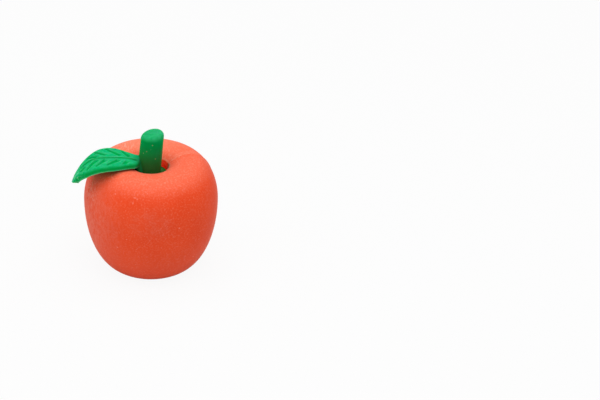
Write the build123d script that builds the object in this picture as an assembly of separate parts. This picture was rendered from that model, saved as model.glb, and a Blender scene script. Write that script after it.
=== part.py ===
"""Apple-shaped pencil-end eraser: two solid rubber halves, a pencil sleeve, a stem plug and a leaf.

Millimetres, +Z up. The apple stands on z = 0 and its axis is Z. The seam between the halves is the
XZ plane, the front half is on the -Y side, and the leaf points along -X.
"""

import os
from math import radians, sqrt, tan

from build123d import *

# Fits
running_clearance = 0.05  # between pieces that turn or slide on each other
seat_clearance = 0.03  # between pieces that stay still on each other
socket_clearance = 0.1  # between the leaf's ring and the crown socket

# Apple body
body_radius = 14.0
body_height = 24.7  # highest ring of the crown
equator_height = 15.5  # widest ring
base_rim = 1.55  # width of the flat ring that the apple stands on
crown_width = 4.6  # from the socket's mouth out to the highest ring
crown_dip = 1.7  # from the highest ring down to the socket's mouth
lip_radius = 0.25  # rounding of the socket's mouth
seam_radius = 0.15  # rounding of each half along the seam

# Pencil sleeve
pencil_radius = 3.5
pencil_depth = 12.0
sleeve_wall = 1.4
sleeve_web = 1.6  # between the pencil's bore and the shank's bore
flange_bottom = 7.0
flange_thickness = 1.6
flange_width = 1.3  # how far the retaining flange stands out of the sleeve

# Locating pegs of the rear half
peg_radius = 1.25
peg_length = 2.5
peg_tip_radius = 0.4
peg_end_gap = 0.2
peg_wall = 2.4  # between the sleeve's bore and a peg
low_peg_height = 5.2
high_peg_depth = 6.1  # below the highest ring of the crown

# Stem plug
stem_radius = 2.45  # at its foot
stem_taper = 0.12  # loss of radius over its length
stem_length = 9.65  # from the flange's seat to the middle of the top face
stem_lean = 5.3  # degrees, away from the leaf
stem_shift = 0.53  # of the foot toward the leaf
stem_top_tilt = 14.0  # degrees, the top face falls toward the leaf
stem_edge_radius = 0.9
stem_flange_ledge = 0.32  # how far the flange stands out of the foot
stem_flange_thickness = 0.4
stem_flare_width = 0.4  # how far the foot spreads on the flange
stem_flare_height = 0.6
shank_radius = 2.0
shank_end_gap = 0.4
shank_tip_radius = 0.4

# Leaf
ring_depth = 1.9  # top of the ring below the socket's mouth
ring_thickness = 2.0
ring_ledge = 0.2  # how far the ring stands out of the stem's flange
neck_half_width = 1.5
neck_lift = 0.35  # where the neck bends outward, above the socket's mouth
neck_length = 3.5  # along the underside of the blade
leaf_length = 14.9  # in plan
leaf_half_width = 4.9
blade_thickness = 1.05
blade_straight = 7.4  # in plan, from the root to where the droop begins
blade_root_drop = 0.24  # underside of the root below the highest ring of the crown
blade_rise = 0.87  # underside above that ring where the droop begins
blade_droop = 2.2  # level end face of the tip below that ring
droop_radius = 6.1  # of the underside
droop_angle = 80.0  # degrees, runs past the end face
blade_edge_radius = 0.3
# Edges of the blade: shares of its length, each with its share of the half width there
rear_edge = [(0.0, 0.31), (0.14, 0.64), (0.24, 0.89), (0.35, 1.0), (0.49, 0.9),
             (0.7, 0.53), (0.9, 0.15), (1.0, -0.1)]
front_edge = [(0.0, -0.45), (0.13, -0.65), (0.28, -0.745), (0.57, -0.9),
              (0.81, -0.67), (0.92, -0.36), (1.0, -0.29)]
midrib_width = 0.5
midrib_start = 0.4  # from the root
midrib_length = 12.0
vein_width = 0.4
vein_depth = 0.3
vein_angle = 48.0  # degrees off the midrib
vein_pitch = 2.3
vein_lengths = [3.4, 3.9, 3.4, 2.2]  # on each side, from the root outward
first_vein = 1.85  # from the root

# Sizes that follow
sleeve_radius = pencil_radius + sleeve_wall
sleeve_bore = sleeve_radius + running_clearance
flange_radius = sleeve_radius + flange_width
flange_top = flange_bottom + flange_thickness
stem_flange_radius = stem_radius + stem_shift + stem_flange_ledge
ring_radius = stem_flange_radius + ring_ledge
socket_radius = ring_radius + socket_clearance
rim_height = body_height - crown_dip
ring_top = rim_height - ring_depth
sleeve_height = ring_top - ring_thickness
base_radius = sleeve_bore + base_rim
shoulder_radius = socket_radius + crown_width
shank_bore_bottom = pencil_depth + sleeve_web
leaf_root = stem_radius  # distance of the leaf's inner face from the axis
root_height = body_height - blade_root_drop
bend_height = body_height + blade_rise
tip_height = body_height - blade_droop
blade_slope = (bend_height - root_height) / blade_straight


def at_position(edges, axis, value, tolerance=0.001):
    """Edges whose middle lies at this position along the axis."""
    return edges.filter_by_position(axis, value - tolerance, value + tolerance)


def apple_half():
    """One half of the body on the -Y side: a revolved profile with the seats of sleeve and plug."""
    groove_radius = flange_radius + running_clearance
    groove_low = flange_bottom - running_clearance
    groove_high = flange_top + running_clearance
    low_middle = (base_radius, equator_height)
    low_width = body_radius - base_radius
    high_middle = (shoulder_radius, equator_height)
    high_width = body_radius - shoulder_radius
    high_rise = body_height - equator_height
    with BuildPart() as half:
        with BuildSketch(Plane.XZ):
            with BuildLine():
                Line((sleeve_bore, 0), (base_radius, 0))
                EllipticalCenterArc(low_middle, low_width, equator_height, 270, arc_size=90)
                EllipticalCenterArc(high_middle, high_width, high_rise, 0, arc_size=90)
                TangentArc((shoulder_radius, body_height), (socket_radius, rim_height), tangent=(-1, 0))
                Polyline(
                    (socket_radius, rim_height),
                    (socket_radius, sleeve_height),
                    (sleeve_bore, sleeve_height),
                    (sleeve_bore, groove_high),
                    (groove_radius, groove_high),
                    (groove_radius, groove_low),
                    (sleeve_bore, groove_low),
                    (sleeve_bore, 0),
                )
            make_face()
        revolve(axis=Axis.Z, revolution_arc=-180)
        fillet(at_position(half.edges(), Axis.Z, rim_height), lip_radius)
        seam = at_position(half.edges(), Axis.Y, 0)
        fillet(seam.filter_by(GeomType.ELLIPSE), seam_radius)
    return half.part


def peg_places():
    """Middles of the four pegs on the seam plane."""
    distance = sleeve_bore + peg_wall + peg_radius
    heights = (low_peg_height, body_height - high_peg_depth)
    return [(side * distance, height) for height in heights for side in (-1, 1)]


def front_half():
    """Near half, with a socket for each peg."""
    with BuildPart() as part:
        add(apple_half())
        with BuildSketch(Plane.XZ):
            with Locations(*peg_places()):
                Circle(peg_radius + running_clearance)
        extrude(amount=peg_length + peg_end_gap, mode=Mode.SUBTRACT)
    return part.part


def rear_half():
    """Far half, with round-tipped pegs that stand out of its seam face."""
    with BuildPart() as part:
        add(apple_half().rotate(Axis.Z, 180))
        with BuildSketch(Plane.XZ):
            with Locations(*peg_places()):
                Circle(peg_radius)
        extrude(amount=peg_length)
        fillet(at_position(part.edges(), Axis.Y, -peg_length), peg_tip_radius)
    return part.part


def pencil_sleeve():
    """Core with the pencil's blind bore below, the shank's bore above and a retaining flange."""
    with BuildPart() as part:
        with BuildSketch(Plane.XY):
            Circle(sleeve_radius)
        extrude(amount=sleeve_height)
        with BuildSketch(Plane.XY.offset(flange_bottom)):
            Circle(flange_radius)
        extrude(amount=flange_thickness)
        with BuildSketch(Plane.XY):
            Circle(pencil_radius)
        extrude(amount=pencil_depth, mode=Mode.SUBTRACT)
        with BuildSketch(Plane.XY.offset(sleeve_height)):
            Circle(shank_radius + running_clearance)
        extrude(amount=shank_bore_bottom - sleeve_height, mode=Mode.SUBTRACT)
    return part.part


def stem():
    """Leaning stem on a flange, with a straight shank below and a keyway for the leaf's neck."""
    uncut_length = stem_length + stem_radius
    lean_slope = tan(radians(stem_lean))
    flange_upper = ring_top + stem_flange_thickness
    flare_top = flange_upper + stem_flare_height
    keyway_floor = leaf_root - seat_clearance
    keyway_top = root_height + blade_thickness + seat_clearance
    keyway_width = 2 * (neck_half_width + seat_clearance)
    with BuildPart() as part:
        with BuildSketch(Plane.XY.offset(ring_top)):
            with Locations((-stem_shift, 0)):
                Circle(stem_radius)
        with BuildSketch(Plane.XY.offset(ring_top + uncut_length)):
            with Locations((uncut_length * lean_slope - stem_shift, 0)):
                Circle(stem_radius - stem_taper)
        loft()
        top_middle = (stem_length * lean_slope - stem_shift, 0, ring_top + stem_length)
        split(bisect_by=Plane(top_middle).rotated((0, -stem_top_tilt, 0)), keep=Keep.BOTTOM)
        fillet(part.faces().sort_by(Axis.Z)[-1].edges(), stem_edge_radius)
        with BuildSketch(Plane.XY.offset(ring_top)):
            Circle(stem_flange_radius)
        extrude(amount=stem_flange_thickness)
        with BuildSketch(Plane.XY.offset(flange_upper)):
            with Locations((stem_flange_thickness * lean_slope - stem_shift, 0)):
                Circle(stem_radius + stem_flare_width)
        with BuildSketch(Plane.XY.offset(flare_top)):
            with Locations(((flare_top - ring_top) * lean_slope - stem_shift, 0)):
                Circle(stem_radius)
        loft()
        with BuildSketch(Plane.XY.offset(ring_top)):
            Circle(shank_radius)
        extrude(amount=shank_bore_bottom + shank_end_gap - ring_top)
        fillet(part.edges().sort_by(Axis.Z)[0], shank_tip_radius)
        with BuildSketch(Plane.XY.offset(ring_top)):
            with Locations((-keyway_floor, 0)):
                Rectangle(body_radius, keyway_width, align=(Align.MAX, Align.CENTER))
        extrude(amount=keyway_top - ring_top, mode=Mode.SUBTRACT)
    return part.part


def blade_slab(thickness):
    """Slab on the leaf's underside, which rises straight from the root and then droops in an arc."""
    bend = (-leaf_root - blade_straight, bend_height)
    with BuildPart() as slab:
        with BuildSketch(Plane.XZ):
            with BuildLine():
                rise = Line((-leaf_root, root_height), bend)
                JernArc(bend, tangent=rise % 1, radius=droop_radius, arc_size=droop_angle)
                offset(amount=thickness, side=Side.RIGHT)
            make_face()
        extrude(amount=body_radius, both=True)
    return slab.part


def blade_plan():
    """Outline of the leaf seen from above, from its root to its blunt tip, at the tip's end face."""
    rear, front = (
        [(-leaf_root - along * leaf_length, across * leaf_half_width) for along, across in edge]
        for edge in (rear_edge, front_edge)
    )
    with BuildSketch(Plane.XY.offset(tip_height)) as plan:
        with BuildLine():
            Spline(*rear)
            Spline(*front)
            Line(rear[0], front[0])
            Line(rear[-1], front[-1])
        make_face()
    return plan.sketch


def blade():
    """Drooping blade: what the slab and the extruded plan have in common, with rounded edges."""
    side_edge_count = 8  # above and below, front and rear, straight and drooping
    with BuildPart() as part:
        add(blade_slab(blade_thickness))
        extrude(blade_plan(), amount=body_height, mode=Mode.INTERSECT)
        curved_edges = part.edges().filter_by(GeomType.BSPLINE).sort_by(Edge.length)
        fillet(curved_edges[-side_edge_count:], blade_edge_radius)
    return part.part


def veins():
    """Midrib and side veins: a thin layer at the blade's upper face, cut to their plan."""
    with BuildPart() as part:
        add(blade_slab(blade_thickness + vein_depth))
        add(blade_slab(blade_thickness - vein_depth), mode=Mode.SUBTRACT)
        with BuildSketch(Plane.XY):
            with Locations((-leaf_root - midrib_start - midrib_length / 2, 0)):
                SlotOverall(midrib_length, midrib_width)
            for number, length in enumerate(vein_lengths):
                start = leaf_root + first_vein + number * vein_pitch
                for side in (-1, 1):
                    with Locations(Location((-start, 0), 180 - side * vein_angle)):
                        with Locations((length / 2, 0)):
                            SlotOverall(length, vein_width)
        extrude(amount=2 * body_height, mode=Mode.INTERSECT)
    return part.part


def leaf():
    """Blade with grooved veins, on a neck that stands on the ring round the stem's shank."""
    neck_outside = sqrt(ring_radius**2 - neck_half_width**2)
    neck_end_height = root_height + neck_length * blade_slope
    half_blade = blade_thickness / 2
    with BuildPart() as part:
        add(blade())
        with BuildSketch(Plane.XZ):
            with BuildLine():
                Polyline(
                    (-leaf_root, ring_top),
                    (-neck_outside, ring_top),
                    (-neck_outside, rim_height + neck_lift),
                    (-leaf_root - neck_length, neck_end_height),
                    (-leaf_root - neck_length, neck_end_height + half_blade),
                    (-leaf_root, root_height + half_blade),
                    close=True,
                )
            make_face()
        extrude(amount=neck_half_width, both=True)
        with BuildSketch(Plane.XY.offset(sleeve_height)):
            Circle(ring_radius)
            Circle(shank_radius + seat_clearance, mode=Mode.SUBTRACT)
        extrude(amount=ring_thickness)
        add(veins(), mode=Mode.SUBTRACT)
    return part.part


os.makedirs("parts", exist_ok=True)
for piece in (front_half, rear_half, pencil_sleeve, stem, leaf):
    export_step(piece(), f"parts/{piece.__name__}.step")
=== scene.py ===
"""Looks of the apple-shaped pencil eraser: rubber materials, a veined leaf, moulding flash and a studio."""

from math import acos, asin, atan, atan2, cos, exp, hypot, pi, radians, sin

import bpy
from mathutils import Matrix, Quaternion, Vector, noise

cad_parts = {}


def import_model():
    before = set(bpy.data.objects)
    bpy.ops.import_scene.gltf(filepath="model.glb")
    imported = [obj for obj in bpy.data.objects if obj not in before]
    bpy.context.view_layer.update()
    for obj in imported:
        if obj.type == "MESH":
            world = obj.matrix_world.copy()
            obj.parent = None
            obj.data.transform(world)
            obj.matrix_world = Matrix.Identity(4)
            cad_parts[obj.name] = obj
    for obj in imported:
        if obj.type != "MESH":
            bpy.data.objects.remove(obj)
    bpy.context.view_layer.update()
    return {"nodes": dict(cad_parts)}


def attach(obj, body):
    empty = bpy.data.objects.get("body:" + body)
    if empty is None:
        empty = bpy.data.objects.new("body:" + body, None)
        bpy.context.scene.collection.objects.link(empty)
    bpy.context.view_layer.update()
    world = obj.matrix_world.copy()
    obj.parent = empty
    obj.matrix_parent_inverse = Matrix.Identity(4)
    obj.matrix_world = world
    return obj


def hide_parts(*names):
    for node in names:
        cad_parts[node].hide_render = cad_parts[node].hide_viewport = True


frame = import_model()

mm = 0.001

# Crown of the body, in millimetres, on the same lines as its solids
body_radius = 14.0
body_height = 24.7
equator_height = 15.5
shoulder_radius = 8.2
mouth_radius = 3.6
rim_height = 23.0

# Moulding flash: how far along the profile, with the angle round the axis in degrees
seam_flash = [(0.12, 0.0), (1.8, 0.0)]
left_crease = [(1.42, 180.5), (1.57, 181.5), (1.7, 189.4), (1.8, 198.0)]

# Pale nicks in the body, each with its radii
nicks = [
    ((-6.6, -10.3, 22.1), (0.5, 0.5, 0.18)),
    ((-6.2, -10.6, 21.9), (0.2, 0.3, 0.3)),
    ((-7.1, -10.6, 21.1), (0.2, 0.3, 0.4)),
    ((-9.9, -7.4, 22.0), (0.25, 0.3, 0.25)),
    ((1.8, -13.9, 15.5), (0.3, 0.3, 0.25)),
    ((-10.0, -9.1, 10.3), (0.35, 0.3, 0.3)),
]

# Crumbs of red rubber on the stem
crumbs = [(0.2, -2.4, 25.9), (-0.4, -2.3, 29.1), (-2.0, -1.2, 27.0), (-1.5, -1.8, 27.6)]
crumb_radius = 0.22

# Leaf blade, on the same lines as its solid
leaf_root = 2.45  # distance of the inner end from the axis
leaf_length = 14.9
leaf_half_width = 4.9
root_height = 24.46  # of the underside
bend_height = 25.57
tip_height = 22.5
blade_straight = 7.4
blade_thickness = 1.05
droop_radius = 6.1
root_inset = 1.2  # how far the blade reaches into the stem
root_swell = 0.5  # share by which the blade is thicker there
root_roll = 0.6  # share by which the front of the root rolls down
root_length = 3.2  # over which it does
roll_rear = 0.8  # place across the blade where the roll begins
roll_front = -1.2  # and where it is full
# Edges of the blade: shares of its length, each with its share of the half width there
rear_edge = [(-0.08, 0.3), (0.0, 0.31), (0.14, 0.64), (0.24, 0.89), (0.35, 1.0), (0.49, 0.9),
             (0.7, 0.53), (0.9, 0.15), (1.0, -0.1)]
front_edge = [(-0.08, -0.1), (0.0, -0.17), (0.06, -0.37), (0.14, -0.6), (0.28, -0.745), (0.57, -0.9),
              (0.81, -0.67), (0.92, -0.36), (1.0, -0.29)]
# Section of the blade's edge: how far inside the outline, the share of the thickness and how pale it is
# there from wear and a painted highlight
edge_section = [(0.12, 0.0, 0.3), (0.0, 0.04, 1.0), (0.0, 0.14, 1.0), (0.12, 0.22, 0.0), (0.12, 0.45, 0.0),
                (0.16, 0.6, 0.0), (0.26, 0.77, 0.0), (0.44, 0.9, 0.0), (0.68, 0.98, 0.0)]
face_inset = 0.95  # from the outline to the upper and lower faces
edge_shade_level = 0.6  # share of the thickness below which the painted shade on the edge is darkest

# Pale rim on the upper face, round the tip, from wear and a painted highlight
tip_rim_inset = 0.7
tip_rim_width = 0.3
tip_rim_start = 11.5  # along the leaf
tip_rim_full = 13.0

# Veins: places along the leaf and across it
midrib = [(0.0, -0.6), (2.4, -0.31), (4.8, -0.05), (8.0, 0.0), (10.0, 0.25), (11.8, 0.0), (14.0, -0.85)]
midrib_width = 0.3
midrib_rise = (0.2, 1.2)  # places along the leaf where it begins and is full
midrib_fall = (13.6, 12.0)  # and where it ends and is still full
vein_width = 0.5  # at its inner end
vein_taper = 0.5  # share of that lost at its outer end
vein_depth = 0.34
vein_rise = (-0.4, 0.4)  # as for the midrib, from the vein's inner end
vein_fall = (0.3, -0.7)  # from its outer end
veins = [
    ((2.2, 0.5), (3.1, 3.0)),
    ((4.0, 0.95), (6.6, 4.3)),
    ((7.0, 1.15), (9.5, 3.0)),
    ((8.9, 0.8), (11.7, 1.5)),
    ((3.2, -1.7), (4.7, -3.3)),
    ((4.9, -1.1), (8.1, -3.3)),
    ((7.6, -1.0), (10.4, -2.9)),
    ((9.4, -0.5), (12.4, -2.5)),
    ((12.2, -0.8), (13.9, -1.8)),
]

# Lips beside the veins, pale from wear and a painted highlight, the front lips most
lip_power = 6  # the higher, the closer the lip keeps to the vein's upper edge
lip_scale = 17.6  # brings its highest value to about 1
midrib_lip_pale = 0.5
front_lip_pale = 1.0
rear_lip_pale = 0.3

# Leaf collar
ring_bottom = 19.1
ring_top = 21.1
ring_radius = 3.5
ring_bore = 2.03

# Leaf neck, from the ring up: height, outer distance from the axis, front and rear
neck_levels = [
    (20.9, 3.3, -1.5, 1.5),
    (22.4, 3.35, -1.5, 1.5),
    (23.0, 3.45, -1.5, 1.55),
    (23.4, 3.75, -1.4, 1.6),
    (23.8, 4.3, -1.2, 1.6),
    (24.3, 5.1, -0.9, 1.6),
    (24.8, 6.2, -0.6, 1.5),
]
neck_inside = 1.2  # inner end, inside the stem

# How far red, green and blue light spreads in each rubber, in millimetres
red_glow = (60.0, 6.0, 2.6)
green_glow = (0.1, 0.5, 0.2)
white_glow = (0.8, 0.7, 0.6)
glow_weight = 0.8

# Photograph
picture_width = 600
picture_height = 400
pixels_per_mm = 4.75
view_distance = 500.0  # from the camera to the aim point
view_azimuth = -17.0
view_elevation = 30.0
aim_height = 13.0
aim_pixel = (151.1, 207.7)

# Studio, in metres
floor_half_width = 1.5
floor_grey = 0.72
floor_white_share = 0.92  # of what the camera sees of the floor; the rest shows the shadow
fill_light = 0.34


# Mesh helpers

def smooth_through(points, value):
    """Value of a smooth curve through points with rising first numbers."""
    last = len(points) - 2
    span = 0
    while span < last and value > points[span + 1][0]:
        span += 1

    def slope(number):
        before = points[max(number - 1, 0)]
        after = points[min(number + 1, len(points) - 1)]
        return (after[1] - before[1]) / (after[0] - before[0])

    (x0, y0), (x1, y1) = points[span], points[span + 1]
    width = x1 - x0
    t = (value - x0) / width
    rise = 3 * t**2 - 2 * t**3
    start = t**3 - 2 * t**2 + t
    end = t**3 - t**2
    return y0 + (y1 - y0) * rise + width * (slope(span) * start + slope(span + 1) * end)


def ramp(value, low, high):
    """Smooth step from 0 at low to 1 at high."""
    t = min(max((value - low) / (high - low), 0.0), 1.0)
    return t * t * (3 - 2 * t)


def skin(rows, closed_ends):
    """Faces round and between rows of equally many points, with a face over each end if asked."""
    count = len(rows[0])
    faces = []
    for row in range(len(rows) - 1):
        for column in range(count):
            a = row * count + column
            b = row * count + (column + 1) % count
            faces.append((a, b, b + count, a + count))
    if closed_ends:
        faces.append(tuple(range(count - 1, -1, -1)))
        faces.append(tuple(range((len(rows) - 1) * count, len(rows) * count)))
    return faces


def make_piece(name, rows, closed_ends, body, material):
    """Smooth-shaded mesh through rows of points in millimetres, riding on a body."""
    points = [tuple(mm * value for value in point) for row in rows for point in row]
    mesh = bpy.data.meshes.new(name)
    mesh.from_pydata(points, [], skin(rows, closed_ends))
    mesh.validate()
    mesh.shade_smooth()
    piece = bpy.data.objects.new(name, mesh)
    bpy.context.scene.collection.objects.link(piece)
    mesh.materials.append(material)
    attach(piece, body)
    return piece


# Materials

class Paint:
    """A principled material with short calls for the nodes that colour it."""

    def __init__(self, name):
        self.material = bpy.data.materials.new(name)
        self.material.use_nodes = True
        self.nodes = self.material.node_tree.nodes
        self.links = self.material.node_tree.links
        self.shader = self.nodes["Principled BSDF"]
        self.place = self.nodes.new("ShaderNodeTexCoord").outputs["Object"]

    def link(self, source, target):
        """Joins an output to an input."""
        self.links.new(source, target)

    def noise(self, size, detail=2.0, roughness=0.5, place=None):
        """Noise whose features are about size millimetres."""
        node = self.nodes.new("ShaderNodeTexNoise")
        node.inputs["Scale"].default_value = 1 / (size * mm)
        node.inputs["Detail"].default_value = detail
        node.inputs["Roughness"].default_value = roughness
        self.link(place or self.place, node.inputs["Vector"])
        return node.outputs["Fac"]

    def stretched(self, scale, turn=(0, 0, 0)):
        """Object coordinates turned by degrees and then scaled, for streaks."""
        node = self.nodes.new("ShaderNodeMapping")
        node.vector_type = "TEXTURE"
        node.inputs["Rotation"].default_value = [radians(angle) for angle in turn]
        node.inputs["Scale"].default_value = scale
        self.link(self.place, node.inputs["Vector"])
        return node.outputs["Vector"]

    def window(self, source, low, high):
        """0 at low, 1 at high, smooth between and level beyond."""
        node = self.nodes.new("ShaderNodeMapRange")
        node.interpolation_type = "SMOOTHSTEP"
        node.inputs["From Min"].default_value = low
        node.inputs["From Max"].default_value = high
        self.link(source, node.inputs["Value"])
        return node.outputs["Result"]

    def height(self, low, high):
        """0 at one height in millimetres, 1 at another, smooth between."""
        node = self.nodes.new("ShaderNodeSeparateXYZ")
        self.link(self.place, node.inputs["Vector"])
        return self.window(node.outputs["Z"], low * mm, high * mm)

    def attribute(self, name):
        """A number stored on the mesh."""
        node = self.nodes.new("ShaderNodeAttribute")
        node.attribute_name = name
        return node.outputs["Fac"]

    def math(self, operation, first, second):
        """Result of an operation on two outputs or numbers."""
        node = self.nodes.new("ShaderNodeMath")
        node.operation = operation
        for socket, value in zip(node.inputs, (first, second)):
            if isinstance(value, (int, float)):
                socket.default_value = value
            else:
                self.link(value, socket)
        return node.outputs["Value"]

    def both(self, first, second):
        """Mask of where two masks overlap."""
        return self.math("MULTIPLY", first, second)

    def length(self, vector):
        """Length of a vector."""
        node = self.nodes.new("ShaderNodeVectorMath")
        node.operation = "LENGTH"
        self.link(vector, node.inputs[0])
        return node.outputs["Value"]

    def patch(self, centre, radii):
        """Soft blob: 1 at its centre in millimetres, 0 at its radii."""
        node = self.nodes.new("ShaderNodeMapping")
        node.vector_type = "TEXTURE"
        node.inputs["Location"].default_value = [value * mm for value in centre]
        node.inputs["Scale"].default_value = [value * mm for value in radii]
        self.link(self.place, node.inputs["Vector"])
        return self.window(self.length(node.outputs["Vector"]), 1.0, 0.0)

    def reach(self, low, high):
        """0 at one distance from the axis in millimetres, 1 at another, smooth between."""
        flat = self.nodes.new("ShaderNodeVectorMath")
        flat.operation = "MULTIPLY"
        flat.inputs[1].default_value = (1, 1, 0)
        self.link(self.place, flat.inputs[0])
        return self.window(self.length(flat.outputs["Vector"]), low * mm, high * mm)

    def spots(self, places, radius):
        """Soft round spots at places in millimetres."""
        found = None
        for place in places:
            spot = self.patch(place, (radius, radius, radius))
            found = spot if found is None else self.math("MAXIMUM", found, spot)
        return found

    def specks(self, spacing, size, share):
        """Round specks, of a size and about a spacing in millimetres, in this share of the cells."""
        edge = 0.02
        node = self.nodes.new("ShaderNodeTexVoronoi")
        node.inputs["Scale"].default_value = 1 / (spacing * mm)
        self.link(self.place, node.inputs["Vector"])
        dots = self.window(node.outputs["Distance"], size / spacing, 0.5 * size / spacing)
        chance = self.nodes.new("ShaderNodeSeparateColor")
        self.link(node.outputs["Color"], chance.inputs["Color"])
        kept = self.window(chance.outputs["Red"], 1 - share, 1 - share + edge)
        return self.both(dots, kept)

    def mix(self, mask, strength, first, second):
        """Colour that goes this strength of the way from first to second where the mask is 1."""
        node = self.nodes.new("ShaderNodeMix")
        node.data_type = "RGBA"
        self.link(self.math("MULTIPLY", mask, strength), node.inputs["Factor"])
        # Of the node's sockets for all kinds of data, these are the colours
        sockets = (node.inputs[6], node.inputs[7])
        result = node.outputs[2]
        for socket, value in zip(sockets, (first, second)):
            if isinstance(value, tuple):
                socket.default_value = (*value, 1.0)
            else:
                self.link(value, socket)
        return result

    def tone(self, size, detail, first, second, roughness=0.5, low=0.3, high=0.7):
        """Colour that wanders between two as noise goes from low to high."""
        return self.mix(self.window(self.noise(size, detail, roughness), low, high), 1.0, first, second)

    def layers(self, colour, tints):
        """Lays tints over a colour in their order: a mask, a strength and a colour for each."""
        for mask, strength, tint in tints:
            colour = self.mix(mask, strength, colour, tint)
        return colour

    def bump(self, size, detail, roughness, depth):
        """Fine grain in the surface, its size and depth in millimetres."""
        node = self.nodes.new("ShaderNodeBump")
        node.inputs["Strength"].default_value = 1.0
        node.inputs["Distance"].default_value = depth * mm
        self.link(self.noise(size, detail, roughness), node.inputs["Height"])
        self.link(node.outputs["Normal"], self.shader.inputs["Normal"])

    def powder(self, weight, roughness, tint):
        """A soft pale sheen at glancing angles, as from fine dust."""
        self.shader.inputs["Sheen Weight"].default_value = weight
        self.shader.inputs["Sheen Roughness"].default_value = roughness
        self.shader.inputs["Sheen Tint"].default_value = (*tint, 1.0)

    def glow(self, spread, place=None):
        """Light that spreads inside the rubber, all over or only in a place."""
        self.shader.inputs["Subsurface Weight"].default_value = glow_weight
        if place:
            self.link(place, self.shader.inputs["Subsurface Weight"])
        self.shader.inputs["Subsurface Radius"].default_value = spread
        self.shader.inputs["Subsurface Scale"].default_value = mm

    def finish(self, colour, roughness, spread, specular):
        """Sets the shader's colour and gloss, and a roughness that wanders by a spread each way."""
        patch_size = 1.5
        self.link(colour, self.shader.inputs["Base Color"])
        node = self.nodes.new("ShaderNodeMapRange")
        node.inputs["To Min"].default_value = roughness - spread
        node.inputs["To Max"].default_value = roughness + spread
        self.link(self.noise(patch_size), node.inputs["Value"])
        self.link(node.outputs["Result"], self.shader.inputs["Roughness"])
        self.shader.inputs["Specular IOR Level"].default_value = specular
        return self.material


def crown_painted_light(paint, colour):
    """Painted light on the crown: a painted highlight over its top and its back, painted shade behind the
    stem and under the leaf, a shaded and a highlit side of the seam, a painted highlight round the hole's
    rim and a painted glow on the hole's wall.
    """
    # Painted highlight: the crown grows paler toward its top
    painted_crown_highlight = paint.height(21.0, 24.6)
    # Painted highlight over the back of the crown
    painted_back_highlight = paint.patch((1.0, 9.0, 25.0), (18.0, 11.0, 7.5))
    # Painted shade behind the stem, between it and the leaf
    painted_shade_behind_stem = paint.patch((-2.5, 3.8, 23.6), (2.8, 2.8, 1.6))
    # Painted shade under the leaf, saturated as if lit by red bounce light
    painted_under_leaf_shade = paint.patch((-10.2, -3.2, 23.0), (4.5, 3.8, 2.6))
    # Painted shade on the front side of the seam and a painted highlight on its rear side
    painted_seam_shade = paint.patch((8.0, -0.6, 24.2), (5.5, 0.7, 2.5))
    painted_seam_highlight = paint.patch((8.0, 0.7, 24.2), (5.5, 0.9, 2.5))
    # Painted highlight in a band round the hole's rim
    outside_hole = paint.reach(mouth_radius, mouth_radius + 0.15)
    painted_rim_highlight = paint.reach(mouth_radius + 0.55, mouth_radius + 0.25)
    # Painted glow on the hole's wall, standing in for light coming through the rubber
    painted_hole_glow = paint.reach(mouth_radius + 0.12, mouth_radius + 0.02)
    return paint.layers(colour, [
        (painted_crown_highlight, 0.9, (0.96, 0.15, 0.072)),
        (painted_back_highlight, 0.72, (0.98, 0.27, 0.155)),
        (painted_shade_behind_stem, 0.8, (0.98, 0.11, 0.035)),
        (painted_under_leaf_shade, 0.5, (0.99, 0.06, 0.01)),
        (painted_seam_shade, 0.35, (0.98, 0.1, 0.035)),
        (painted_seam_highlight, 0.3, (0.98, 0.32, 0.2)),
        (paint.both(outside_hole, painted_rim_highlight), 0.4, (0.98, 0.33, 0.21)),
        (painted_hole_glow, 0.9, (0.99, 0.09, 0.02)),
    ])


def bloom_and_painted_light(paint, colour, cloud):
    """Cloudy bloom on the front, a web of it on the left that also stands in for a sheen of light from that
    side, and painted shade at the foot.
    """
    front = paint.patch((-4.0, -13.2, 17.0), (7.0, 6.0, 5.5))
    # Powdery web on the left, which also stands in for a sheen of light from that side
    left = paint.patch((-13.0, -2.0, 14.0), (7.5, 13.0, 14.0))
    strands = paint.noise(0.8, 4.0, 0.7, paint.stretched((0.7, 0.7, 1.6)))
    web = paint.window(strands, 0.3, 0.7)
    # Painted shade darkening the foot
    painted_foot_shade = paint.height(2.2, 0.2)
    return paint.layers(colour, [
        (paint.both(front, cloud), 0.28, (0.82, 0.22, 0.16)),
        (paint.both(left, web), 0.34, (0.98, 0.38, 0.29)),
        (painted_foot_shade, 0.4, (0.6, 0.04, 0.008)),
    ])


def grain_tints(paint, colour):
    """Fine grain: pale and deep dots all over, and more pale ones on the crown."""
    grain = paint.noise(0.36, 3.0, 0.7)
    pale_dots = paint.window(grain, 0.48, 0.72)
    deep_dots = paint.window(grain, 0.5, 0.3)
    crown_dots = paint.both(paint.window(grain, 0.46, 0.68), paint.height(21.5, 24.0))
    return paint.layers(colour, [
        (pale_dots, 0.19, (0.98, 0.36, 0.26)),
        (deep_dots, 0.2, (0.88, 0.06, 0.012)),
        (crown_dots, 0.17, (0.98, 0.4, 0.28)),
    ])


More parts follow.
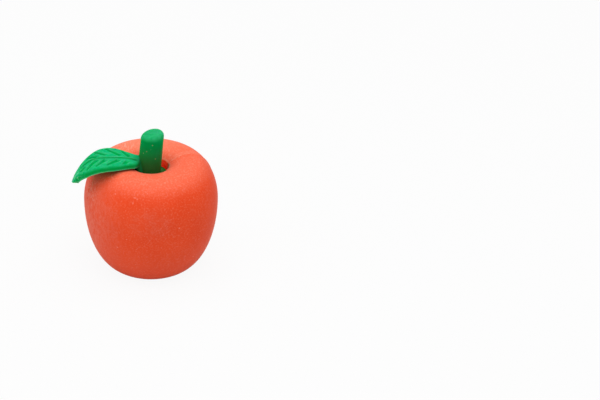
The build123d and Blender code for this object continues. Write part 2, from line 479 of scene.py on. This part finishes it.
def wear_tints(paint, colour, cloud):
    """Rubbed streaks, scuffs on the left edge, strokes behind the hole, nicks and dust."""
    streaks = paint.noise(1.0, 3.0, 0.6, paint.stretched((0.35, 0.35, 7.0), (20, 35, 0)))
    scuffs = paint.noise(0.5, 4.0, 0.7, paint.stretched((0.6, 1.0, 4.0), (10, -12, 0)))
    strokes = paint.noise(0.5, 2.0, 0.5, paint.stretched((0.5, 3.0, 1.0), (0, 0, -25)))
    left_edge = paint.patch((-13.2, -1.0, 19.5), (3.0, 5.0, 6.0))
    behind_hole = paint.patch((-3.8, 7.1, 24.7), (4.0, 4.0, 2.0))
    colour = paint.layers(colour, [
        (paint.both(paint.window(streaks, 0.62, 0.74), cloud), 0.35, (0.96, 0.38, 0.28)),
        (paint.both(paint.window(scuffs, 0.48, 0.7), left_edge), 0.6, (0.96, 0.45, 0.36)),
        (paint.both(paint.window(strokes, 0.52, 0.66), behind_hole), 0.6, (0.98, 0.5, 0.4)),
    ])
    colour = paint.layers(colour, [(paint.patch(*nick), 0.45, (0.97, 0.42, 0.31)) for nick in nicks])
    dust = paint.specks(spacing=2.0, size=0.13, share=0.4)
    return paint.mix(dust, 0.4, colour, (0.97, 0.45, 0.33))


def body_rubber():
    """Orange-red eraser rubber with painted light on the crown, a powdery bloom, painted shade at the foot,
    dust and rubbed streaks.
    """
    paint = Paint("body_rubber")
    colour = paint.tone(7.0, 3.0, (0.89, 0.07, 0.014), (0.93, 0.08, 0.018))
    lower_part = paint.height(14.0, 3.0)
    colour = paint.mix(lower_part, 0.2, colour, (0.94, 0.18, 0.1))
    colour = crown_painted_light(paint, colour)
    cloud = paint.window(paint.noise(2.2, 4.0, 0.65), 0.3, 0.75)
    colour = bloom_and_painted_light(paint, colour, cloud)
    colour = grain_tints(paint, colour)
    colour = wear_tints(paint, colour, cloud)
    paint.bump(size=0.22, detail=3.0, roughness=0.6, depth=0.02)
    paint.powder(weight=0.27, roughness=0.25, tint=(1.0, 0.65, 0.52))
    paint.glow(red_glow, place=paint.reach(mouth_radius + 0.4, mouth_radius + 0.05))
    return paint.finish(colour, roughness=0.6, spread=0.06, specular=0.12)


def flash_rubber():
    """Thin pale flash of the body's rubber."""
    paint = Paint("flash_rubber")
    colour = paint.tone(0.8, 3.0, (0.96, 0.18, 0.09), (0.97, 0.27, 0.17), low=0.35, high=0.65)
    paint.bump(size=0.2, detail=2.0, roughness=0.5, depth=0.02)
    return paint.finish(colour, roughness=0.6, spread=0.05, specular=0.12)


def leaf_rubber():
    """Green rubber of the leaf: painted shade in the veins, down its edge and on the neck and collar down
    in the socket, with lips paler from wear and a painted highlight.
    """
    paint = Paint("leaf_rubber")
    colour = paint.tone(0.9, 4.0, (0.0, 0.42, 0.135), (0.022, 0.455, 0.18), roughness=0.65)
    root = paint.patch((-4.0, 0.0, 25.5), (3.5, 4.0, 2.0))
    # Painted shade on the neck and the collar, down in the socket
    neck = paint.window(paint.patch((-2.8, -0.4, 22.6), (3.6, 4.5, 3.4)), 0.0, 0.35)
    collar = paint.height(22.2, 21.4)
    tip = paint.patch((-16.0, -1.0, 23.5), (3.2, 3.2, 2.8))
    scratches = paint.noise(0.35, 3.0, 0.6, paint.stretched((0.35, 0.35, 6.0), (0, 35, 12)))
    colour = paint.layers(colour, [
        (root, 0.3, (0.0, 0.34, 0.11)),
        # Painted shade in the veins
        (paint.attribute("painted_vein_shade"), 0.95, (0.0, 0.36, 0.075)),
        # Painted shade down the edge
        (paint.attribute("painted_edge_shade"), 0.85, (0.0, 0.34, 0.055)),
        # Lips pale from wear and a painted highlight
        (paint.attribute("lip_wear_and_highlight"), 0.6, (0.14, 0.58, 0.31)),
        # Painted shade in the socket
        (neck, 0.85, (0.01, 0.14, 0.03)),
        (collar, 0.8, (0.01, 0.13, 0.03)),
        (tip, 0.3, (0.0, 0.55, 0.17)),
        (paint.both(paint.window(scratches, 0.56, 0.64), tip), 0.4, (0.4, 0.78, 0.52)),
    ])
    paint.bump(size=0.2, detail=3.0, roughness=0.6, depth=0.012)
    paint.glow(green_glow)
    return paint.finish(colour, roughness=0.5, spread=0.06, specular=0.0)


def stem_rubber():
    """Green rubber of the stem: painted shade and red bounce light that darken it to olive toward its foot,
    a painted highlight on its worn top, a painted red reflection on its right side, and red crumbs and dust
    from the body.
    """
    paint = Paint("stem_rubber")
    colour = paint.tone(2.5, 3.0, (0.0, 0.31, 0.07), (0.0, 0.35, 0.085))
    # Painted shade and red bounce light, darker toward the foot
    painted_foot_shade = paint.height(30.0, 22.8)
    # Painted highlight on the top, patchy where worn
    top = paint.height(29.4, 30.6)
    wear_and_highlight = paint.window(paint.noise(0.9, 3.0), 0.0, 0.7)
    # Painted reflection of the red body down the stem's right side
    painted_side_reflection = paint.patch((2.3, -0.8, 25.5), (1.3, 2.0, 5.0))
    dust = paint.specks(spacing=0.7, size=0.1, share=0.3)
    colour = paint.layers(colour, [
        (painted_foot_shade, 0.9, (0.03, 0.13, 0.02)),
        (paint.both(top, wear_and_highlight), 0.5, (0.05, 0.52, 0.24)),
        (painted_side_reflection, 0.35, (0.25, 0.22, 0.09)),
        (paint.spots(crumbs, crumb_radius), 0.35, (0.72, 0.42, 0.3)),
        (dust, 0.15, (0.6, 0.5, 0.38)),
    ])
    paint.bump(size=0.2, detail=3.0, roughness=0.6, depth=0.015)
    paint.glow(green_glow)
    return paint.finish(colour, roughness=0.5, spread=0.06, specular=0.0)


def sleeve_rubber():
    """Off-white eraser rubber of the core, with red dust."""
    paint = Paint("sleeve_rubber")
    colour = paint.tone(4.0, 3.0, (0.74, 0.69, 0.6), (0.8, 0.76, 0.68))
    dust = paint.specks(spacing=1.8, size=0.14, share=0.35)
    colour = paint.mix(dust, 0.5, colour, (0.72, 0.4, 0.32))
    paint.bump(size=0.25, detail=3.0, roughness=0.6, depth=0.02)
    paint.glow(white_glow)
    return paint.finish(colour, roughness=0.62, spread=0.06, specular=0.4)


# Moulding flash

def crown_point(progress):
    """Radius, height and outward direction on the body: 0 at the mouth, 1 at the top, 2 at the equator."""
    if progress < 1:
        width = shoulder_radius - mouth_radius
        drop = body_height - rim_height
        dish = (width**2 + drop**2) / (2 * drop)
        turn = (1 - progress) * asin(width / dish)
        radius = shoulder_radius - dish * sin(turn)
        height = body_height - dish * (1 - cos(turn))
        return radius, height, -sin(turn), cos(turn)
    turn = (progress - 1) * pi / 2
    width = body_radius - shoulder_radius
    rise = body_height - equator_height
    radius = shoulder_radius + width * sin(turn)
    height = equator_height + rise * cos(turn)
    size = hypot(rise * sin(turn), width * cos(turn))
    return radius, height, rise * sin(turn) / size, width * cos(turn) / size


def flash_bead(name, path, body, material):
    """Thin uneven bead that follows a path over the body and fades at its ends."""
    stations = 240
    half_width = 0.2
    tall = 0.13
    sink = 0.2
    fade_in = 0.08  # along the profile
    fade_out = 0.35
    mean_share = 0.75  # of the full height, which wanders round it
    swing = 0.5
    waves = 9
    # Shares of the half width and of the height, and a last point inside the body
    section = [(-1.0, -0.3), (-0.6, 0.6), (0.0, 1.0), (0.6, 0.6), (1.0, -0.3), (0.0, -sink / tall)]
    first, last = path[0][0], path[-1][0]
    rows = []
    for station in range(stations + 1):
        progress = first + (last - first) * station / stations
        turn = radians(smooth_through(path, progress))
        radius, height, outward, upward = crown_point(progress)
        fade = ramp(progress, first, first + fade_in) * ramp(progress, last, last - fade_out)
        uneven = mean_share + swing * noise.noise(Vector((waves * progress, turn, 0.0)))
        row = []
        for across, lift in section:
            stand = lift * tall * fade * uneven if lift > 0 else lift * tall
            out = radius + stand * outward
            aside = across * half_width * (0.5 + 0.5 * fade)
            x = out * cos(turn) - aside * sin(turn)
            y = out * sin(turn) + aside * cos(turn)
            row.append((x, y, height + stand * upward))
        rows.append(row)
    return make_piece(name, rows, True, body, material)


# Leaf

def blade_point(progress, level):
    """Distance from the axis and height on the blade at a share of its thickness.

    Progress 0 to 1 is the straight part and 1 to 2 the droop down to the tip's level end face.
    """
    lift = level * blade_thickness
    rise_angle = atan2(bend_height - root_height, blade_straight)
    if progress <= 1:
        run = progress * hypot(blade_straight, bend_height - root_height)
        out = leaf_root + run * cos(rise_angle) - lift * sin(rise_angle)
        return out, root_height + run * sin(rise_angle) + lift * cos(rise_angle)
    middle_out = leaf_root + blade_straight + droop_radius * sin(rise_angle)
    middle_height = bend_height - droop_radius * cos(rise_angle)
    radius = droop_radius + lift
    end_angle = acos((tip_height - middle_height) / radius)
    angle = (progress - 1) * (end_angle + rise_angle) - rise_angle
    return middle_out + radius * sin(angle), middle_height + radius * cos(angle)


def groove(distance, width):
    """Depth share of a flat-bottomed groove at this distance from its middle."""
    return exp(-((distance / width) ** 4))


def lip(depth):
    """Paleness on the upper edge of a groove, from wear and a painted highlight, from the depth share
    there.
    """
    return lip_scale * depth * (1 - depth) ** lip_power


def vein_marks(along, across):
    """How deep in a vein a place on the upper face is, and how pale from wear and a painted highlight the
    lip beside one is, from 0 to 1.
    """
    off = across - smooth_through(midrib, along)
    ends = ramp(along, *midrib_rise) * ramp(along, *midrib_fall)
    depth = groove(off, midrib_width)
    share = depth * ends
    wear_and_highlight = lip(depth) * ends * midrib_lip_pale
    for (along_0, across_0), (along_1, across_1) in veins:
        step = (along_1 - along_0, across_1 - across_0)
        length = hypot(*step)
        run = ((along - along_0) * step[0] + (across - across_0) * step[1]) / length
        off = ((across - across_0) * step[0] - (along - along_0) * step[1]) / length
        ends = ramp(run, *vein_rise) * ramp(run - length, *vein_fall)
        width = vein_width * (1 - vein_taper * min(max(run / length, 0.0), 1.0))
        depth = groove(off, width)
        share = max(share, depth * ends)
        wear_and_highlight = max(wear_and_highlight, lip(depth) * ends * (front_lip_pale if off < 0 else rear_lip_pale))
    return share, wear_and_highlight * (1 - share)


def blade_vertex(progress, level, sink, inset, share, wear_and_highlight):
    """A point of the blade's skin, and its painted shade in a vein, its painted shade down the edge and how
    pale it is from wear and a painted highlight there.
    """
    out, height = blade_point(progress, level - sink)
    along = out - leaf_root
    front = leaf_half_width * smooth_through(front_edge, along / leaf_length)
    rear = leaf_half_width * smooth_through(rear_edge, along / leaf_length)
    inset *= min(1.0, (rear - front) / (3 * face_inset))
    across = front + inset + share * (rear - front - 2 * inset)
    vein = 0.0
    if level == 1.0:
        vein, vein_lip = vein_marks(along, across)
        roll = root_roll * ramp(along, root_length, 0.0) * ramp(across, roll_rear, roll_front)
        out, height = blade_point(progress, level - roll - vein * vein_depth / blade_thickness)
        from_edge = min(across - front, rear - across)
        rim = groove(from_edge - tip_rim_inset, tip_rim_width) * ramp(along, tip_rim_start, tip_rim_full)
        wear_and_highlight = max(wear_and_highlight, rim, vein_lip)
    return (-out, across, height), (vein, ramp(level, 1.0, edge_shade_level), wear_and_highlight)


def leaf_blade(material):
    """Veined blade with rounded edges, a thin lip along its underside and a swollen root."""
    straight_stations = 110
    droop_stations = 110
    columns = 84
    start = -root_inset / blade_straight
    progresses = [start + (1 - start) * number / straight_stations for number in range(straight_stations)]
    progresses += [1 + number / droop_stations for number in range(droop_stations + 1)]
    rows = []
    masks = {"painted_vein_shade": [], "painted_edge_shade": [], "lip_wear_and_highlight": []}
    for progress in progresses:
        root_share = ramp(blade_point(progress, 0)[0] - leaf_root, root_length, 0.0)
        swell = root_swell * root_share
        # Up the front edge, over the upper face, down the rear edge and back along the lower face
        places = []
        for inset, level, wear_and_highlight in edge_section:
            places.append((level, swell * (1 - level) + root_roll * root_share * level, inset, 0.0, wear_and_highlight))
        for column in range(columns + 1):
            places.append((1.0, 0.0, face_inset, column / columns, 0.0))
        for inset, level, wear_and_highlight in reversed(edge_section):
            places.append((level, swell * (1 - level), inset, 1.0, wear_and_highlight))
        for column in range(columns - 1, 0, -1):
            places.append((0.0, swell, face_inset, column / columns, 0.0))
        row = []
        for place in places:
            point, marks = blade_vertex(progress, *place)
            row.append(point)
            for values, mark in zip(masks.values(), marks):
                values.append(mark)
        rows.append(row)
    piece = make_piece("leaf_blade", rows, True, "plug", material)
    for name, values in masks.items():
        layer = piece.data.attributes.new(name, "FLOAT", "POINT")
        layer.data.foreach_set("value", values)
    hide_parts("leaf")


def leaf_collar(material):
    """Ring round the stem's shank, below the neck."""
    sides = 96
    edge = 0.15
    profile = [
        (ring_bore, ring_bottom + edge), (ring_bore + edge, ring_bottom),
        (ring_radius - edge, ring_bottom), (ring_radius, ring_bottom + edge),
        (ring_radius, ring_top - edge), (ring_radius - edge, ring_top),
        (ring_bore + edge, ring_top), (ring_bore, ring_top - edge),
    ]
    rows = []
    for side in range(sides + 1):
        turn = -2 * pi * side / sides
        rows.append([(radius * cos(turn), radius * sin(turn), height) for radius, height in profile])
    make_piece("leaf_collar", rows, False, "plug", material)


def leaf_neck(material):
    """Neck that rises from the ring out of the socket and spreads into the underside of the blade."""
    sides = 48
    squareness = 0.6  # 1 would make each level an ellipse, less makes it squarer
    rows = []
    for height, outer, front, rear in neck_levels:
        row = []
        for side in range(sides):
            turn = 2 * pi * side / sides
            out = abs(cos(turn)) ** squareness * (1 if cos(turn) > 0 else -1)
            across = abs(sin(turn)) ** squareness * (1 if sin(turn) > 0 else -1)
            x = -(neck_inside + outer) / 2 + out * (outer - neck_inside) / 2
            y = (front + rear) / 2 + across * (rear - front) / 2
            row.append((x, y, height))
        rows.append(row)
    make_piece("leaf_neck", rows, True, "plug", material)


# Studio

def floor():
    """Wide pale floor that keeps a faint shadow and looks white to the camera."""
    half = floor_half_width
    mesh = bpy.data.meshes.new("floor")
    corners = [(-half, -half, 0), (half, -half, 0), (half, half, 0), (-half, half, 0)]
    mesh.from_pydata(corners, [], [(0, 1, 2, 3)])
    plane = bpy.data.objects.new("floor", mesh)
    bpy.context.scene.collection.objects.link(plane)
    material = bpy.data.materials.new("floor")
    material.use_nodes = True
    nodes, links = material.node_tree.nodes, material.node_tree.links
    nodes.clear()
    paper = nodes.new("ShaderNodeBsdfDiffuse")
    paper.inputs["Color"].default_value = (floor_grey, floor_grey, floor_grey, 1)
    white = nodes.new("ShaderNodeEmission")
    path = nodes.new("ShaderNodeLightPath")
    share = nodes.new("ShaderNodeMath")
    share.operation = "MULTIPLY"
    share.inputs[1].default_value = floor_white_share
    mix = nodes.new("ShaderNodeMixShader")
    output = nodes.new("ShaderNodeOutputMaterial")
    links.new(path.outputs["Is Camera Ray"], share.inputs[0])
    links.new(share.outputs["Value"], mix.inputs["Fac"])
    links.new(paper.outputs["BSDF"], mix.inputs[1])
    links.new(white.outputs["Emission"], mix.inputs[2])
    links.new(mix.outputs["Shader"], output.inputs["Surface"])
    mesh.materials.append(material)


def world():
    """Pale surroundings: white to the camera and in reflections, dimmer as a light."""
    surroundings = bpy.data.worlds.new("studio")
    surroundings.use_nodes = True
    bpy.context.scene.world = surroundings
    nodes, links = surroundings.node_tree.nodes, surroundings.node_tree.links
    background = nodes["Background"]
    background.inputs["Color"].default_value = (1, 1, 1, 1)
    path = nodes.new("ShaderNodeLightPath")
    seen = path.outputs["Is Camera Ray"]
    for name in ("Is Glossy Ray", "Is Transmission Ray"):
        either = nodes.new("ShaderNodeMath")
        either.operation = "MAXIMUM"
        links.new(seen, either.inputs[0])
        links.new(path.outputs[name], either.inputs[1])
        seen = either.outputs["Value"]
    strength = nodes.new("ShaderNodeMapRange")
    strength.inputs["To Min"].default_value = fill_light
    strength.inputs["To Max"].default_value = 1.0
    links.new(seen, strength.inputs["Value"])
    links.new(strength.outputs["Result"], background.inputs["Strength"])


def softbox(name, place, size, power):
    """Square area lamp that points at the apple."""
    lamp = bpy.data.lights.new(name, "AREA")
    lamp.size = size
    lamp.energy = power
    holder = bpy.data.objects.new(name, lamp)
    holder.location = place
    aim = Vector((0, 0, aim_height * mm)) - Vector(place)
    holder.rotation_mode = "QUATERNION"
    holder.rotation_quaternion = aim.to_track_quat("-Z", "Y")
    bpy.context.scene.collection.objects.link(holder)


def camera():
    """Camera at the photograph's angle, turned so that the apple stands at its place in the picture."""
    data = bpy.data.cameras.new("camera")
    focal_pixels = pixels_per_mm * view_distance
    data.sensor_width = 36.0
    data.lens = data.sensor_width * focal_pixels / picture_width
    azimuth, elevation = radians(view_azimuth), radians(view_elevation)
    back = Vector((sin(azimuth) * cos(elevation), -cos(azimuth) * cos(elevation), sin(elevation)))
    holder = bpy.data.objects.new("camera", data)
    holder.location = Vector((0, 0, aim_height * mm)) + back * view_distance * mm
    turn = atan((aim_pixel[0] - picture_width / 2) / focal_pixels)
    lift = atan((aim_pixel[1] - picture_height / 2) / focal_pixels * cos(turn))
    look = (-back).to_track_quat("-Z", "Y")
    look = look @ Quaternion((0, 1, 0), turn) @ Quaternion((1, 0, 0), lift)
    holder.rotation_mode = "QUATERNION"
    holder.rotation_quaternion = look
    bpy.context.scene.collection.objects.link(holder)
    bpy.context.scene.camera = holder


def paint_node(node, material):
    """Gives a solid of the frame its material."""
    for slot in frame["nodes"][node].material_slots:
        slot.material = material


# Scene

red = body_rubber()
pale_red = flash_rubber()
leaf_green = leaf_rubber()
paint_node("front_half", red)
paint_node("rear_half", red)
paint_node("pencil_sleeve", sleeve_rubber())
paint_node("stem", stem_rubber())
flash_bead("seam_flash", seam_flash, "rear", pale_red)
flash_bead("left_crease", left_crease, "front", pale_red)
leaf_blade(leaf_green)
leaf_collar(leaf_green)
leaf_neck(leaf_green)

floor()
world()
softbox("top_light", place=(0.02, -0.02, 0.52), size=0.6, power=2.15)
softbox("front_light", place=(0, -0.3, 0.43), size=0.4, power=0.5)
softbox("left_light", place=(-0.47, 0, 0.22), size=0.4, power=0.44)
camera()
bpy.context.scene.view_settings.view_transform = "Standard"
